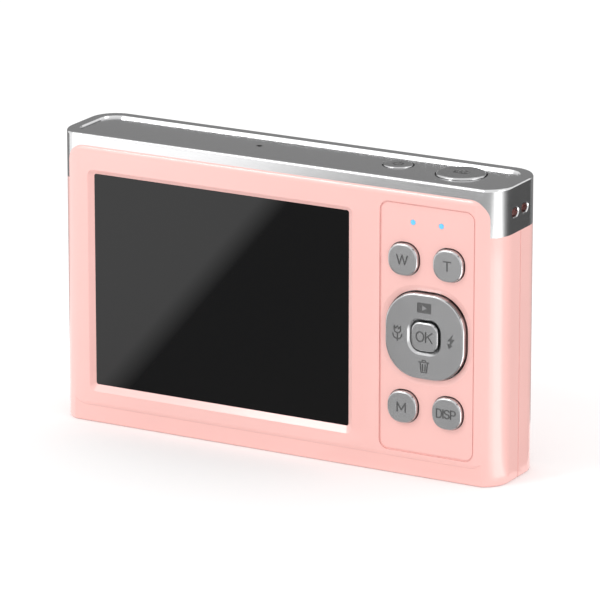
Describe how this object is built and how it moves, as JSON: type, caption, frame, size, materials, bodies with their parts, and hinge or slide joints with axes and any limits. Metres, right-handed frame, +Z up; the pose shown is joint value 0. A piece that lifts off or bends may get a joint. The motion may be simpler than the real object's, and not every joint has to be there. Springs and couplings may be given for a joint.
{
  "type": "compact digital camera",
  "caption": "Slim pocket digital camera with a fixed lens, large rear display, rear key pad, shutter and power keys on top, and a bottom battery door.",
  "frame": {"origin": "middle of the tripod socket's mouth, in the flat bottom the camera stands on", "axes": "+X to the right for someone who looks at the display, +Y the way the lens points, +Z up"},
  "size_m": [0.1, 0.0251, 0.0604],
  "materials": {
    "pink_plastic": "smooth, light gloss",
    "bright_trim": "satin bright metal",
    "key_metal": "satin",
    "window_glass": "polished, dark behind",
    "lcd_glass": "dark polariser film",
    "white_plastic": "white",
    "thin_steel": "stamped",
    "polyimide": "amber film",
    "board_green": "solder mask",
    "chip_black": "moulded",
    "connector_beige": "moulded",
    "black_plastic": "fine texture",
    "card_black": "smooth",
    "frame_aluminium": "stamped",
    "black_rubber": "soft",
    "brass": "turned",
    "battery_wrap": "printed film without words",
    "gold_contact": "plated",
    "clear_optic": "coated",
    "ir_glass": "coated",
    "sensor_ceramic": "ceramic with die",
    "clear_plastic": "prismatic",
    "reflector": "bright plated",
    "lamp_amber": "tinted",
    "blue_light": "tinted clear",
    "led_white": "phosphor and ceramic",
    "screw_steel": "nickel plated"
  },
  "bodies": {
    "camera": {"rear_cover": "pink_plastic", "front_cover": "pink_plastic", "top_trim": "bright_trim", "display_window": "window_glass", "lcd_panel": "lcd_glass", "lcd_backlight": "white_plastic", "lcd_bracket": "thin_steel", "lcd_flex": "polyimide", "key_switches": "thin_steel", "indicator_light_pipes": "blue_light", "indicator_leds": "led_white", "shutter_spring": "screw_steel", "top_board": "board_green", "top_switches": "thin_steel", "microphone": "thin_steel", "microphone_boot": "black_rubber", "main_board": "board_green", "board_chips": "chip_black", "shield_can": "thin_steel", "board_connectors": "connector_beige", "usb_port": "thin_steel", "card_socket": "thin_steel", "memory_card": "card_black", "mid_frame": "frame_aluminium", "speaker": "black_plastic", "tripod_socket": "brass", "battery": "battery_wrap", "battery_chamber": "black_plastic", "battery_contacts": "gold_contact", "battery_door_pin": "screw_steel", "lens_ring": "bright_trim", "lens_barrel_cover": "black_plastic", "lens_window": "clear_optic", "lens_mask": "black_plastic", "front_lens_element": "clear_optic", "rear_lens_element": "clear_optic", "lens_barrel": "black_plastic", "lens_holder": "black_plastic", "ir_filter": "ir_glass", "image_sensor": "sensor_ceramic", "sensor_board": "board_green", "flash_window": "clear_plastic", "flash_reflector": "reflector", "flash_led": "led_white", "self_timer_lamp": "lamp_amber", "case_screws": "screw_steel", "board_screws": "screw_steel"},
    "w_key": {"w_button": "key_metal"},
    "t_key": {"t_button": "key_metal"},
    "menu_key": {"menu_button": "key_metal"},
    "disp_key": {"disp_button": "key_metal"},
    "ok_key": {"ok_button": "key_metal"},
    "shutter_key": {"shutter_button": "key_metal"},
    "power_key": {"power_button": "key_metal"},
    "nav_key": {"nav_pad": "key_metal"},
    "nav_rocker": {"nav_rocker_ring": "thin_steel"},
    "door": {"battery_door": "pink_plastic"}
  },
  "joints": [
    {"name": "shutter_press", "type": "slide", "parent": "camera", "child": "shutter_key", "axis": [0, 0, -1], "range_m": [0, 0.00085], "stiffness_N_per_m": 600, "springref_m": -0.0006, "deforming": ["shutter_spring"]},
    {"name": "power_press", "type": "slide", "parent": "camera", "child": "power_key", "axis": [0, 0, -1], "range_m": [0, 0.00045], "stiffness_N_per_m": 600, "springref_m": -0.0006},
    {"name": "w_press", "type": "slide", "parent": "camera", "child": "w_key", "axis": [0, 1, 0], "range_m": [0, 0.0005], "stiffness_N_per_m": 800, "springref_m": -0.0006},
    {"name": "t_press", "type": "slide", "parent": "camera", "child": "t_key", "axis": [0, 1, 0], "range_m": [0, 0.0005], "stiffness_N_per_m": 800, "springref_m": -0.0006},
    {"name": "menu_press", "type": "slide", "parent": "camera", "child": "menu_key", "axis": [0, 1, 0], "range_m": [0, 0.0005], "stiffness_N_per_m": 800, "springref_m": -0.0006},
    {"name": "disp_press", "type": "slide", "parent": "camera", "child": "disp_key", "axis": [0, 1, 0], "range_m": [0, 0.0005], "stiffness_N_per_m": 800, "springref_m": -0.0006},
    {"name": "ok_press", "type": "slide", "parent": "camera", "child": "ok_key", "axis": [0, 1, 0], "range_m": [0, 0.0004], "stiffness_N_per_m": 800, "springref_m": -0.0006},
    {"name": "nav_up_down", "type": "hinge", "parent": "camera", "child": "nav_rocker", "pos_m": [0.0344, -0.01105, 0.02935], "axis": [1, 0, 0], "range_deg": [-2.4, 2.4], "stiffness_Nm_per_rad": 0.06},
    {"name": "nav_left_right", "type": "hinge", "parent": "nav_rocker", "child": "nav_key", "pos_m": [0.0344, -0.01105, 0.02935], "axis": [0, 0, 1], "range_deg": [-2.4, 2.4], "stiffness_Nm_per_rad": 0.06},
    {"name": "battery_door_hinge", "type": "hinge", "parent": "camera", "child": "door", "pos_m": [0.0453, -0.0001, 0.00075], "axis": [0, -1, 0], "range_deg": [0, 95]}
  ]
}
